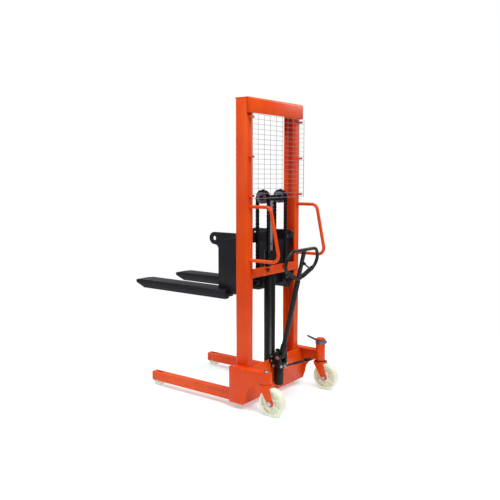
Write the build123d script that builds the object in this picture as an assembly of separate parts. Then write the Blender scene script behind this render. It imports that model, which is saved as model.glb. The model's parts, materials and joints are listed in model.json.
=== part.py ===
"""Walkie stacker: a hand-pumped pallet lifter with a C-channel mast.

Millimetres, +Z up, forks towards -Y, +X is the machine's left side. The floor
is Z = 0 and the origin is the middle of the footprint, on the floor.
Everything is drawn with Y = 0 on the rear face of the mast posts and moved by
Y_SHIFT when it is written out.
"""

import os
from math import cos, radians, sin

from build123d import *

# ---------------------------------------------------------------- overall
MAST_TOP = 1980.0
MAST_WIDTH = 611.0
BASE_WIDTH = 722.0
FORK_TIP_Y = -1055.0
LEG_TIP_Y = -850.0

# ---------------------------------------------------------------- mast
POST_DEPTH = 95.0
POST_FLANGE = 61.0
POST_WEB_T = 6.0
POST_FLANGE_T = 8.5
BEAM_HEIGHT = 97.0
BEAM_PROUD = 23.0
BEAM_T = 6.0
BRACE_Z = 844.0
BRACE_HEIGHT = 59.0
BRACE_T = 8.0
BRACE_LAP = 17.0
GUARD_Z0 = 1350.0
GUARD_GAP_TOP = 4.0
GUARD_HALF = 305.0
GUARD_BAR = 4.0
GUARD_OFF = 31.0
GUARD_COLS = 9
GUARD_ROWS = 18

# ---------------------------------------------------------------- base
PLATE_T = 6.0
BASE_Z0 = 36.0
BASE_Z1 = 273.0
BASE_FRONT_Y = -105.0
REAR_PLATE_T = 6.6
LEG_OUT = 334.0
LEG_WIDTH = 54.0
LEG_HEIGHT = 63.0
LEG_WALL = 5.0
LEG_NOSE = 15.0
LOAD_ROLLER_R = 37.0
LOAD_ROLLER_W = 40.0
LOAD_ROLLER_Y = -790.0
LOAD_PIN_R = 8.0

# ---------------------------------------------------------------- casters
CASTER_Y = 170.0
CASTER_IN = 32.4
HOUSING_R = 33.0
HOUSING_Z0 = 199.0
HOUSING_Z1_LEFT = 270.0
HOUSING_Z1_RIGHT = 320.0
NECK_R = 26.0
STEM_R = 15.0
WHEEL_R = 90.0
WHEEL_W = 46.0
TRAIL = 46.0
ARCH_GAP = 6.0
ARCH_KNEE = 22.0
AXLE_R = 10.0
YOKE_GAP = 4.0
YOKE_T = 6.0
YOKE_TOP_Z = 184.0
YOKE_TOP_T = 12.0
YOKE_HALF_Y = 38.0
YOKE_BOSS_R = 24.0

# ---------------------------------------------------------------- lift
CYL_Y = -39.0
BARREL_R = 38.0
BORE_R = 30.0
BARREL_TOP = 976.0
GLAND_H = 25.0
ROD_R = 20.0
PISTON_Z = 440.0
PISTON_H = 30.0
SHEAVE_Y = -25.0
SHEAVE_Z = 1353.0
SHEAVE_X = 100.0
SHEAVE_W = 34.0
GROOVE_R = 36.0
CHAIN_T = 16.0
CHAIN_W = 26.0
SHEAVE_FLANGE_R = 39.0
SHEAVE_PIN_R = 10.0

# ---------------------------------------------------------------- carriage
SIDE_IN = 9.5
SIDE_T = 12.0
CAR_TOP = 1123.0
CAR_BOTTOM = 718.0
CAR_REAR_Y = -28.0
CAR_FRONT_Y = -294.0
HEEL_Y = -238.0
HEEL_OUT_Y = -204.0
SEAT_Y = -296.0
EAR_Y = -329.0
EAR_R = 41.0
EAR_HOLE_R = 15.0
CROSS_Y = -100.0
CROSS_T = 10.0
CROSS_H = 68.0
ROLLER_W = 30.0
ROLLER_PIN_R = 12.5
ROLLER_Z = (790.0, 1076.0)

# ---------------------------------------------------------------- forks
FORK_X = 211.0
FORK_WIDTH = 130.0
FORK_TOP = 747.0
FORK_HEIGHT = 60.0
FORK_T = 6.0
FORK_TAPER = 94.0
SEAT_STEP = 2.0

# ---------------------------------------------------------------- pump, tiller
PUMP_HALF = 50.0
PUMP_Y1 = 78.0
TANK_Y = 41.0
PUMP_Z0 = 210.0
PUMP_Z1 = 305.0
PIVOT_Y = 62.0
PIVOT_Z = 284.0
PLUNGER_Y = 24.0
PLUNGER_R = 10.0
TILLER_LEAN = 13.2
NOSE_Z = 30.0
PEDAL_Y = 34.0
PEDAL_Z = 194.0
PAD_Z = 215.0
TILLER_L = 548.0
TUBE_R = 11.0
SHAFT_R = 17.0

# ---------------------------------------------------------------- handles
HANDLE_X = 275.0
HANDLE_TOP = 1302.0
HANDLE_BOTTOM = 962.0
HANDLE_REACH_TOP = 157.0
HANDLE_REACH_BOTTOM = 228.0

# ---------------------------------------------------------------- fits
RUN = 0.05
FREE = 0.4

HALF = MAST_WIDTH / 2
BASE_HALF = BASE_WIDTH / 2
CASTER_X = BASE_HALF - CASTER_IN
REAR_Y = CASTER_Y + TRAIL + WHEEL_R
Y_SHIFT = -(FORK_TIP_Y + REAR_Y) / 2
POST_IN = HALF - POST_FLANGE
POST_TOP = MAST_TOP - BEAM_T
FLOOR_PLATE = BASE_Z0 + 2 * PLATE_T
CHANNEL_Y = -POST_DEPTH / 2
ROLLER_R = POST_DEPTH / 2 - POST_FLANGE_T - FREE
SIDE_X = POST_IN - SIDE_IN
CHAIN_IN = GROOVE_R + 0.5
CHAIN_OUT = CHAIN_IN + CHAIN_T
STRAND = SHEAVE_Y + CHAIN_IN + CHAIN_T / 2
SEAT_Z = FORK_TOP - SEAT_STEP
PLATE_IN = BASE_HALF - PLATE_T


def block(x0, x1, y0, y1, z0, z1):
    """A box between two corners."""
    where = Pos((x0 + x1) / 2, (y0 + y1) / 2, (z0 + z1) / 2)
    return where * Box(abs(x1 - x0), abs(y1 - y0), abs(z1 - z0))


def rod_x(r, x0, x1, y, z):
    """A round bar along X."""
    return Pos((x0 + x1) / 2, y, z) * Rot(0, 90, 0) * Cylinder(r, abs(x1 - x0))


def rod_y(r, x, y0, y1, z):
    """A round bar along Y."""
    return Pos(x, (y0 + y1) / 2, z) * Rot(90, 0, 0) * Cylinder(r, abs(y1 - y0))


def rod_z(r, x, y, z0, z1):
    """A round bar along Z."""
    return Pos(x, y, (z0 + z1) / 2) * Cylinder(r, abs(z1 - z0))


def side_plate(points, x0, x1):
    """A plate drawn as (y, z) points and given its thickness along X."""
    face = Plane.YZ.offset(x0) * make_face(Polyline(*points, close=True))
    return extrude(face, amount=x1 - x0)


def plan_plate(points, z0, z1):
    """A plate drawn as (x, y) points and given its thickness along Z."""
    face = Plane.XY.offset(z0) * make_face(Polyline(*points, close=True))
    return extrude(face, amount=z1 - z0)


def hex_x(across, x0, x1, y, z):
    """A hexagon bar along X, for bolt heads and nuts."""
    face = Plane.YZ.offset(x0) * Pos(y, z) * RegularPolygon(across / 2, 6, major_radius=False)
    return extrude(face, amount=x1 - x0)


def hex_y(across, x, y0, y1, z):
    """A hexagon bar along Y."""
    hexagon = Pos(x, -z) * RegularPolygon(across / 2, 6, major_radius=False)
    plane = Plane(origin=(0, y0, 0), x_dir=(1, 0, 0), z_dir=(0, 1, 0))
    return extrude(plane * hexagon, amount=y1 - y0)


def hex_z(across, x, y, z0, z1):
    """A hexagon bar along Z."""
    hexagon = Pos(x, y) * RegularPolygon(across / 2, 6, major_radius=False)
    return extrude(Plane.XY.offset(z0) * hexagon, amount=z1 - z0)


def tube_along(path, r):
    """A round bar swept along a wire."""
    start = Plane(origin=path @ 0, z_dir=path % 0)
    return sweep(start * Circle(r), path=path)


def flip(shape):
    """The same piece on the machine's right."""
    return mirror(shape, about=Plane.YZ)


def group(*shapes):
    """Several separate solids written as one piece."""
    solids = []
    for shape in shapes:
        solids.extend(shape.solids())
    return Compound(children=solids)


# ================================================================ mast
def mast_channel():
    """Left post: a channel open towards the middle, rollers run inside it."""
    outer = block(POST_IN, HALF, -POST_DEPTH, 0, FLOOR_PLATE, POST_TOP)
    inside = block(
        POST_IN - 1, HALF - POST_WEB_T,
        -POST_DEPTH + POST_FLANGE_T, -POST_FLANGE_T,
        FLOOR_PLATE - 1, POST_TOP + 1,
    )
    return outer - inside


def mast_top_beam():
    """Cap plate folded down behind the posts and closed at both ends."""
    cap = block(-HALF, HALF, -POST_DEPTH, BEAM_PROUD, POST_TOP, MAST_TOP)
    z0 = MAST_TOP - BEAM_HEIGHT
    rear = block(-HALF, HALF, BEAM_PROUD - BEAM_T, BEAM_PROUD, z0, POST_TOP)
    end = block(HALF - BEAM_T, HALF, 0, BEAM_PROUD - BEAM_T, z0, POST_TOP)
    return cap + rear + end + flip(end)


def mast_cross_brace():
    """Flat bar welded across the posts, with a chain ledge each side."""
    z1 = BRACE_Z + BRACE_HEIGHT
    reach = POST_IN + BRACE_LAP
    bar = block(-reach, reach, 0, BRACE_T, BRACE_Z, z1)
    tab = block(SHEAVE_X - 25, SHEAVE_X + 25, BRACE_T, STRAND + 16, z1 - 8, z1)
    tab = tab - rod_z(6.3, SHEAVE_X, STRAND, z1 - 20, z1 + 20)
    return bar + tab + flip(tab)


def rear_chain_anchors():
    """Threaded clevis and nut that hold each chain to the brace ledge."""
    z1 = BRACE_Z + BRACE_HEIGHT
    half = CHAIN_W / 2 + 3
    y0 = STRAND - CHAIN_T / 2
    clevis = block(SHEAVE_X - half, SHEAVE_X + half, y0, y0 + CHAIN_T, z1, z1 + 27)
    shank = rod_z(6.0, SHEAVE_X, STRAND, z1 - 32, z1)
    nut = hex_z(19, SHEAVE_X, STRAND, z1 - 20, z1 - 8)
    one = clevis + shank + nut
    return group(one, flip(one))


def grab_handle():
    """Bent tube handle on the rear face of the left post."""
    points = (
        (0, HANDLE_TOP),
        (HANDLE_REACH_TOP, HANDLE_TOP),
        (HANDLE_REACH_BOTTOM, HANDLE_BOTTOM),
        (0, HANDLE_BOTTOM),
    )
    path = Plane.YZ.offset(HANDLE_X) * FilletPolyline(*points, radius=45)
    return tube_along(path, TUBE_R)


def mesh_guard():
    """Finger guard: a grid of thin wires behind the mast opening."""
    z1 = MAST_TOP - BEAM_HEIGHT - GUARD_GAP_TOP
    y0 = GUARD_OFF
    plate = block(-GUARD_HALF, GUARD_HALF, y0, y0 + GUARD_BAR, GUARD_Z0, z1)
    wide = (2 * GUARD_HALF - GUARD_BAR) / GUARD_COLS
    high = (z1 - GUARD_Z0 - GUARD_BAR) / GUARD_ROWS
    holes = []
    for i in range(GUARD_COLS):
        x0 = -GUARD_HALF + GUARD_BAR + i * wide
        for j in range(GUARD_ROWS):
            z0 = GUARD_Z0 + GUARD_BAR + j * high
            hole = block(
                x0, x0 + wide - GUARD_BAR, y0 - 1, y0 + GUARD_BAR + 1,
                z0, z0 + high - GUARD_BAR,
            )
            holes.append(hole)
    return plate - holes


def guard_clips():
    """Pads that hold the guard off the posts."""
    clips = []
    z1 = MAST_TOP - BEAM_HEIGHT - GUARD_GAP_TOP
    for z in (GUARD_Z0 + 20, (GUARD_Z0 + z1) / 2, z1 - 20):
        clip = block(268, 292, 0, GUARD_OFF, z - 9, z + 9)
        clips.append(clip)
        clips.append(flip(clip))
    return group(*clips)


# ================================================================ base
def base_side():
    """Left side box: outer plate with an arch over the caster, top and front plates."""
    end_y = CASTER_Y - 5
    arch_y = CASTER_Y - TRAIL
    arch_r = WHEEL_R + ARCH_GAP
    knee_y = arch_y - ARCH_KNEE
    knee_z = WHEEL_R + (arch_r**2 - ARCH_KNEE**2) ** 0.5
    outline = [
        (BASE_FRONT_Y, BASE_Z0),
        (REAR_PLATE_T, BASE_Z0),
        (arch_y - arch_r, WHEEL_R),
        (knee_y, WHEEL_R),
        (knee_y, knee_z),
        (arch_y + 1, HOUSING_Z0 + 1),
        (end_y, HOUSING_Z0 + 5),
        (end_y, BASE_Z1),
        (BASE_FRONT_Y, BASE_Z1),
    ]
    plate = side_plate(outline, PLATE_IN, BASE_HALF)
    plate = plate - rod_x(arch_r, PLATE_IN - 1, BASE_HALF + 1, arch_y, WHEEL_R)
    top = block(HALF, PLATE_IN, BASE_FRONT_Y, end_y, BASE_Z1 - PLATE_T, BASE_Z1)
    front = block(
        HALF, PLATE_IN, BASE_FRONT_Y, BASE_FRONT_Y + PLATE_T,
        BASE_Z0 + LEG_HEIGHT + 1, BASE_Z1 - PLATE_T,
    )
    housing = rod_z(HOUSING_R, CASTER_X, CASTER_Y, 0, MAST_TOP)
    return plate + top + front - housing


def base_rear_plate():
    """Cross plate behind the posts that carries the pump."""
    return block(-PLATE_IN, PLATE_IN, 0, REAR_PLATE_T, BASE_Z0, BASE_Z1 - PLATE_T)


def base_floor_plate():
    """Plate under the posts and the cylinder foot."""
    return block(-HALF, HALF, -POST_DEPTH, 0, FLOOR_PLATE - PLATE_T, FLOOR_PLATE)


def support_leg():
    """Left leg: box tube with a blunt nose over the load roller, and its root box."""
    x0 = LEG_OUT - LEG_WIDTH
    x1 = LEG_OUT
    z1 = BASE_Z0 + LEG_HEIGHT
    nose = LEG_TIP_Y
    back = LEG_TIP_Y + LEG_NOSE
    front = -POST_DEPTH
    plan = [
        (x0, front),
        (x0, back),
        (x0 + LEG_NOSE, nose),
        (x1 - LEG_NOSE, nose),
        (x1, back),
        (x1, front),
    ]
    side = [
        (front, BASE_Z0),
        (back, BASE_Z0),
        (nose, BASE_Z0 + LEG_NOSE),
        (nose, z1 - LEG_NOSE),
        (back, z1),
        (front, z1),
    ]
    body = plan_plate(plan, 0, MAST_TOP) & side_plate(side, x0 - 1, x1 + 1)
    hollow = block(
        x0 + LEG_WALL, x1 - LEG_WALL,
        LOAD_ROLLER_Y + 2 * LOAD_ROLLER_R + 30, front - LEG_WALL,
        BASE_Z0 + LEG_WALL, z1 - LEG_WALL,
    )
    root = block(HALF, PLATE_IN, front, 0, BASE_Z0, z1)
    root_hollow = block(
        HALF + LEG_WALL, PLATE_IN - LEG_WALL,
        front + LEG_WALL, -LEG_WALL,
        BASE_Z0 + LEG_WALL, z1 - LEG_WALL,
    )
    mid = LEG_OUT - LEG_WIDTH / 2
    half = LOAD_ROLLER_W / 2 + 2
    reach = LOAD_ROLLER_R + 6
    well = block(
        mid - half, mid + half, LOAD_ROLLER_Y - reach, LOAD_ROLLER_Y + reach,
        BASE_Z0 - 1, z1 - LEG_WALL - 6,
    )
    slot = block(mid - 11, mid + 11, LOAD_ROLLER_Y - 20, LOAD_ROLLER_Y + 42, z1 - 20, z1 + 5)
    pin = rod_x(LOAD_PIN_R, x0 - 1, x1 + 1, LOAD_ROLLER_Y, LOAD_ROLLER_R)
    return body - hollow + (root - root_hollow) - well - slot - pin


def load_roller_pins():
    """Pins across the leg noses."""
    x0 = LEG_OUT - LEG_WIDTH
    pin = rod_x(LOAD_PIN_R, x0 + 1, LEG_OUT - 1, LOAD_ROLLER_Y, LOAD_ROLLER_R)
    return group(pin, flip(pin))


def load_roller():
    """Nylon roller under the left leg's nose."""
    mid = LEG_OUT - LEG_WIDTH / 2
    half = LOAD_ROLLER_W / 2
    body = rod_x(LOAD_ROLLER_R, mid - half, mid + half, LOAD_ROLLER_Y, LOAD_ROLLER_R)
    rim = body.edges().filter_by(GeomType.CIRCLE)
    body = chamfer(rim, 3)
    hole = rod_x(LOAD_PIN_R + RUN, mid - half - 1, mid + half + 1, LOAD_ROLLER_Y, LOAD_ROLLER_R)
    return body - hole


# ================================================================ casters
def caster_housing_left():
    """Swivel tube of the left caster."""
    x, y = CASTER_X, CASTER_Y
    tube = rod_z(HOUSING_R, x, y, HOUSING_Z0, HOUSING_Z1_LEFT)
    return tube - rod_z(STEM_R + RUN, x, y, HOUSING_Z0 - 1, HOUSING_Z1_LEFT + 1)


def caster_housing_right():
    """Taller swivel tube, its neck carries the brake ring."""
    x, y = -CASTER_X, CASTER_Y
    tube = rod_z(HOUSING_R, x, y, HOUSING_Z0, HOUSING_Z1_RIGHT)
    neck = rod_z(NECK_R, x, y, HOUSING_Z1_RIGHT, HOUSING_Z1_RIGHT + 30)
    return tube + neck - rod_z(STEM_R + RUN, x, y, HOUSING_Z0 - 1, HOUSING_Z1_RIGHT + 31)


def cap_left():
    """Grease cap on the left swivel tube."""
    z = HOUSING_Z1_LEFT
    return rod_z(17, CASTER_X, CASTER_Y, z, z + 10) + rod_z(11, CASTER_X, CASTER_Y, z + 10, z + 14)


def cap_right():
    """Cap on the right swivel neck, it keeps the brake ring down."""
    z = HOUSING_Z1_RIGHT + 30
    return rod_z(31, -CASTER_X, CASTER_Y, z, z + 13)


def swivel_yoke(x, stem_top):
    """Stem, top plate and two broad slanted legs down to the axle."""
    top_z = YOKE_TOP_Z + YOKE_TOP_T
    half_x = WHEEL_W / 2 + YOKE_GAP + YOKE_T
    y0 = CASTER_Y - YOKE_HALF_Y
    y1 = CASTER_Y + YOKE_HALF_Y
    plate = block(x - half_x, x + half_x, y0, y1, YOKE_TOP_Z, top_z)
    stem = rod_z(STEM_R, x, CASTER_Y, top_z, stem_top)
    axle_y = CASTER_Y + TRAIL
    slant = [
        (y0, YOKE_TOP_Z),
        (axle_y - YOKE_BOSS_R, WHEEL_R),
        (axle_y + YOKE_BOSS_R, WHEEL_R),
        (y1, YOKE_TOP_Z),
    ]
    x1 = x + half_x
    x0 = x1 - YOKE_T
    body = plate + stem
    for a, b in ((x0, x1), (2 * x - x1, 2 * x - x0)):
        body = body + side_plate(slant, a, b) + rod_x(YOKE_BOSS_R, a, b, axle_y, WHEEL_R)
    if x > 0:
        body = body + rod_z(HOUSING_R - 4, x, CASTER_Y, top_z, HOUSING_Z0 - FREE)
    return body - rod_x(AXLE_R, x - half_x - 1, x + half_x + 1, axle_y, WHEEL_R)


def axle_bolt(x):
    """Wheel axle bolt with its nut."""
    out = WHEEL_W / 2 + YOKE_GAP + YOKE_T
    y = CASTER_Y + TRAIL
    shank = rod_x(AXLE_R, x - out, x + out, y, WHEEL_R)
    head = hex_x(26, x + out, x + out + 7, y, WHEEL_R)
    nut = hex_x(26, x - out - 7, x - out, y, WHEEL_R)
    return shank + head + nut


def caster_wheel(x):
    """Cast nylon wheel with pockets between ribs on both faces."""
    y = CASTER_Y + TRAIL
    half = WHEEL_W / 2
    body = rod_x(WHEEL_R, x - half, x + half, y, WHEEL_R)
    rim = body.edges().filter_by(GeomType.CIRCLE)
    body = fillet(rim, 7)
    body = body - rod_x(AXLE_R + RUN, x - half - 1, x + half + 1, y, WHEEL_R)
    for side in (-1, 1):
        face = x + side * half
        ring = rod_x(70, face - 10, face + 10, y, WHEEL_R)
        ring = ring - rod_x(33, face - 11, face + 11, y, WHEEL_R)
        ribs = []
        for i in range(6):
            rib = Pos(face, y, WHEEL_R) * Rot(i * 60 + 30, 0, 0) * Pos(0, 50, 0) * Box(24, 60, 8)
            ribs.append(rib)
        body = body - (ring - ribs)
    return body


def brake_disc():
    """Notched friction disc on the right yoke."""
    z0 = YOKE_TOP_Z + YOKE_TOP_T
    disc = rod_z(41, -CASTER_X, CASTER_Y, z0, HOUSING_Z0 - FREE)
    return disc - rod_z(STEM_R, -CASTER_X, CASTER_Y, z0 - 1, HOUSING_Z0)


def brake_lever():
    """Clamp ring round the right neck with a raised lever that points forward."""
    x, y = -CASTER_X, CASTER_Y
    z0 = HOUSING_Z1_RIGHT + 0.5
    z1 = HOUSING_Z1_RIGHT + 29.5
    ring = rod_z(36, x, y, z0, z1)
    outline = [(-10, -28), (-7, -112), (7, -112), (10, -28)]
    arm = Pos(x, y, z0 + 12) * Rot(-15, 0, 0) * plan_plate(outline, -5, 5)
    lug = block(x - 12, x + 12, y + 30, y + 46, z0 + 5, z0 + 24)
    body = ring + arm + lug
    return body - rod_z(NECK_R + FREE, x, y, z0 - 1, z1 + 1)


# ================================================================ cylinder and ram
def cylinder_barrel():
    """Lift cylinder with a closed bottom."""
    z0 = FLOOR_PLATE
    tube = rod_z(BARREL_R, 0, CYL_Y, z0, BARREL_TOP)
    foot = block(-46, 46, CYL_Y - 44, CYL_Y + BARREL_R, z0, z0 + 18)
    return tube + foot - rod_z(BORE_R, 0, CYL_Y, z0 + 32, BARREL_TOP + 1)


def gland_nut():
    """Gland at the top of the cylinder, the rod slides through it."""
    z1 = BARREL_TOP + GLAND_H
    ring = rod_z(BARREL_R - 0.5, 0, CYL_Y, BARREL_TOP, z1)
    plug = rod_z(BORE_R, 0, CYL_Y, BARREL_TOP - 30, BARREL_TOP)
    body = ring + plug
    return body - rod_z(ROD_R + RUN, 0, CYL_Y, BARREL_TOP - 40, z1 + 1)


def piston_rod():
    """Chromed rod with its piston."""
    rod = rod_z(ROD_R, 0, CYL_Y, PISTON_Z, SHEAVE_Z - 20)
    piston = rod_z(BORE_R - RUN, 0, CYL_Y, PISTON_Z - PISTON_H, PISTON_Z)
    return rod + piston


def crosshead():
    """Block on top of the rod, with a pressed pin for each sheave."""
    reach = SHEAVE_X - SHEAVE_W / 2 - 3
    bar = block(-reach, reach, SHEAVE_Y - 20, SHEAVE_Y + 20, SHEAVE_Z - 20, SHEAVE_Z + 16)
    seat = block(-26, 26, CYL_Y - 26, SHEAVE_Y + 20, SHEAVE_Z - 20, SHEAVE_Z + 16)
    out = SHEAVE_X + SHEAVE_W / 2
    pin = rod_x(SHEAVE_PIN_R, reach - 5, out + 6, SHEAVE_Y, SHEAVE_Z)
    collar = rod_x(16, out + 1, out + 6, SHEAVE_Y, SHEAVE_Z)
    spacer = rod_x(16, reach, reach + 2, SHEAVE_Y, SHEAVE_Z)
    end = pin + collar + spacer
    return bar + seat + end + flip(end)


def sheave():
    """Left chain sheave, a grooved wheel."""
    x0 = SHEAVE_X - SHEAVE_W / 2
    x1 = SHEAVE_X + SHEAVE_W / 2
    body = rod_x(SHEAVE_FLANGE_R, x0, x1, SHEAVE_Y, SHEAVE_Z)
    half = CHAIN_W / 2 + 1
    groove = rod_x(SHEAVE_FLANGE_R + 5, SHEAVE_X - half, SHEAVE_X + half, SHEAVE_Y, SHEAVE_Z)
    groove = groove - rod_x(GROOVE_R, SHEAVE_X - 20, SHEAVE_X + 20, SHEAVE_Y, SHEAVE_Z)
    hole = rod_x(SHEAVE_PIN_R + RUN, x0 - 1, x1 + 1, SHEAVE_Y, SHEAVE_Z)
    return body - groove - hole


def chain_wraps():
    """The bent stretch of chain over each sheave."""
    half = CHAIN_W / 2
    ring = rod_x(CHAIN_OUT, SHEAVE_X - half, SHEAVE_X + half, SHEAVE_Y, SHEAVE_Z)
    ring = ring - rod_x(CHAIN_IN, SHEAVE_X - 20, SHEAVE_X + 20, SHEAVE_Y, SHEAVE_Z)
    keep = block(0, 200, SHEAVE_Y - 100, SHEAVE_Y + 100, SHEAVE_Z, SHEAVE_Z + 100)
    one = ring & keep
    return group(one, flip(one))


def chain_front():
    """Straight chains from the sheaves down to the carriage."""
    half = CHAIN_W / 2
    y0 = SHEAVE_Y - CHAIN_OUT
    one = block(SHEAVE_X - half, SHEAVE_X + half, y0, y0 + CHAIN_T, front_anchor_top(), SHEAVE_Z)
    return group(one, flip(one))


def chain_rear():
    """Straight chains from the sheaves down to the brace."""
    half = CHAIN_W / 2
    y0 = SHEAVE_Y + CHAIN_IN
    z0 = BRACE_Z + BRACE_HEIGHT + 27
    one = block(SHEAVE_X - half, SHEAVE_X + half, y0, y0 + CHAIN_T, z0, SHEAVE_Z)
    return group(one, flip(one))


# ================================================================ carriage
def front_anchor_top():
    """Height of the top of the front chain anchors."""
    return CAR_BOTTOM + 31 + CROSS_H - 14


def carriage_side():
    """Left carriage plate with the lifting ear."""
    x0 = SIDE_X - SIDE_T
    x1 = SIDE_X
    ear_z = CAR_TOP - EAR_R
    outline = [
        (CAR_FRONT_Y, SEAT_Z),
        (HEEL_Y, SEAT_Z),
        (HEEL_Y, CAR_BOTTOM),
        (CAR_REAR_Y, CAR_BOTTOM),
        (CAR_REAR_Y, CAR_TOP),
        (EAR_Y, CAR_TOP),
        (EAR_Y, ear_z - EAR_R),
        (EAR_Y + 18, ear_z - EAR_R - 3),
        (EAR_Y + 30, ear_z - EAR_R - 12),
        (CAR_FRONT_Y, ear_z - EAR_R - 24),
    ]
    body = side_plate(outline, x0, x1) + rod_x(EAR_R, x0, x1, EAR_Y, ear_z)
    body = body - rod_x(EAR_HOLE_R, x0 - 1, x1 + 1, EAR_Y, ear_z)
    for z in ROLLER_Z:
        body = body - rod_x(ROLLER_PIN_R, x0 - 1, x1 + 1, CHANNEL_Y, z)
    return body


def carriage_bar(z0):
    """Cross plate between the carriage sides."""
    inner = SIDE_X - SIDE_T
    return block(-inner, inner, CROSS_Y, CROSS_Y + CROSS_T, z0, z0 + CROSS_H)


def carriage_front_bar():
    """Bar that ties the two fork heels together."""
    inner = SIDE_X - SIDE_T
    return block(-inner, inner, CAR_FRONT_Y + 2, CAR_FRONT_Y + 32, SEAT_Z, SEAT_Z + 64)


def front_chain_anchors():
    """Lugs on the lower cross plate that hold the chains."""
    half = CHAIN_W / 2 + 4
    y0 = CROSS_Y + CROSS_T
    top = front_anchor_top()
    lug = block(SHEAVE_X - half, SHEAVE_X + half, y0, SHEAVE_Y - CHAIN_IN + 3, top - 30, top)
    return group(lug, flip(lug))


def roller_pins():
    """Pins for the carriage rollers, through the side plates."""
    pins = []
    x0 = SIDE_X - SIDE_T
    end = HALF - POST_WEB_T - 3
    for z in ROLLER_Z:
        pin = rod_x(ROLLER_PIN_R, x0, end, CHANNEL_Y, z)
        pin = pin + rod_x(ROLLER_PIN_R + 7, SIDE_X, end - ROLLER_W - 4, CHANNEL_Y, z)
        pins.append(pin)
        pins.append(flip(pin))
    return group(*pins)


def carriage_roller(z):
    """Left carriage roller at one height."""
    x1 = HALF - POST_WEB_T - 5
    x0 = x1 - ROLLER_W
    body = rod_x(ROLLER_R, x0, x1, CHANNEL_Y, z)
    rim = body.edges().filter_by(GeomType.CIRCLE)
    body = chamfer(rim, 2.5)
    return body - rod_x(ROLLER_PIN_R + RUN, x0 - 1, x1 + 1, CHANNEL_Y, z)


def fork():
    """Left fork: a folded channel with a wedge tip and a heel seat for the carriage."""
    x0 = FORK_X - FORK_WIDTH / 2
    x1 = FORK_X + FORK_WIDTH / 2
    z1 = FORK_TOP
    z0 = FORK_TOP - FORK_HEIGHT
    tip = FORK_TIP_Y
    back = FORK_TIP_Y + FORK_TAPER
    plan = [
        (x0, HEEL_Y),
        (x0, tip + 12),
        (x0 + 12, tip),
        (x1 - 12, tip),
        (x1, tip + 12),
        (x1, HEEL_OUT_Y),
        (SIDE_X, HEEL_OUT_Y),
        (SIDE_X, HEEL_Y),
    ]
    side = [
        (HEEL_OUT_Y, z0),
        (back, z0),
        (tip, z1 - 22),
        (tip, z1 - 8),
        (tip + 60, z1),
        (SEAT_Y, z1),
        (SEAT_Y, SEAT_Z),
        (HEEL_OUT_Y, SEAT_Z),
    ]
    body = plan_plate(plan, 0, MAST_TOP) & side_plate(side, x0 - 1, x1 + 1)
    roof = SEAT_Z - FORK_T
    hollow = block(x0 + FORK_T, x1 - FORK_T, back, HEEL_Y - FORK_T, z0 - 1, roof)
    heel = block(
        SIDE_X + FORK_T, x1 - FORK_T, HEEL_Y - FORK_T - 1, HEEL_OUT_Y - FORK_T, z0 - 1, roof,
    )
    return body - hollow - heel


# ================================================================ pump and tiller
def pump_block():
    """Hand pump body bolted to the rear plate, its two cheeks hold the tiller's pin."""
    body = block(-PUMP_HALF, PUMP_HALF, REAR_PLATE_T, PUMP_Y1, PUMP_Z0, PUMP_Z1)
    body = fillet(body.edges().filter_by(Axis.Z).group_by(Axis.Y)[-1], 12)
    lug = block(PUMP_HALF, PUMP_HALF + 20, REAR_PLATE_T, REAR_PLATE_T + 9, PUMP_Z1 - 57, PUMP_Z1 - 3)
    half = SHAFT_R + 6
    gap = block(-half, half, PIVOT_Y - 22, PUMP_Y1 + 1, PIVOT_Z - 40, PUMP_Z1 + 1)
    body = body + lug + flip(lug) - gap
    body = body - rod_z(PLUNGER_R + RUN, 0, PLUNGER_Y, PUMP_Z0 + 25, PUMP_Z1 + 1)
    return body - rod_x(9, -PUMP_HALF - 1, PUMP_HALF + 1, PIVOT_Y, PIVOT_Z)


def pump_barrel():
    """Oil tank under the pump block."""
    body = rod_z(31, 0, TANK_Y, 85, PUMP_Z0)
    rim = body.edges().filter_by(GeomType.CIRCLE).group_by(Axis.Z)[0]
    return chamfer(rim, 5) + rod_z(9, 0, TANK_Y, 79, 85)


def pump_fittings():
    """Bright bolts, valve caps and plugs of the pump."""
    z = PUMP_Z0 + 14
    bolts = [
        hex_x(17, PUMP_HALF, PUMP_HALF + 9, 30, z + 2),
        hex_y(19, 36, PUMP_Y1, PUMP_Y1 + 9, z),
        hex_y(17, 0, PUMP_Y1, PUMP_Y1 + 11, z),
        hex_y(15, -34, PUMP_Y1, PUMP_Y1 + 8, z + 6),
    ]
    for z in (PUMP_Z1 - 45, PUMP_Z1 - 15):
        bolt = hex_y(16, PUMP_HALF + 10, REAR_PLATE_T + 9, REAR_PLATE_T + 17, z)
        bolts.append(bolt)
        bolts.append(flip(bolt))
    return group(*bolts)


def pump_plunger():
    """Plunger that the tiller's nose works."""
    stem = rod_z(PLUNGER_R, 0, PLUNGER_Y, PUMP_Z0 + 40, PUMP_Z1 + 3)
    return stem + rod_z(13, 0, PLUNGER_Y, PUMP_Z1 + 3, PUMP_Z1 + 10)


def pump_pins():
    """Tiller pivot pin, and the pedal's pin on its bracket."""
    out = PUMP_HALF + 6
    pin = rod_x(9, -out, out, PIVOT_Y, PIVOT_Z)
    pin = pin + rod_x(13, PUMP_HALF, out, PIVOT_Y, PIVOT_Z) + rod_x(13, -out, -PUMP_HALF, PIVOT_Y, PIVOT_Z)
    x = -PUMP_HALF - 15
    arm = block(x - 9, x + 15, PEDAL_Y + 12, PEDAL_Y + 18, PEDAL_Z - 9, PUMP_Z0 + 16)
    return group(pin, rod_y(6, x, PEDAL_Y - 17, PEDAL_Y + 18, PEDAL_Z) + arm)


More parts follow.
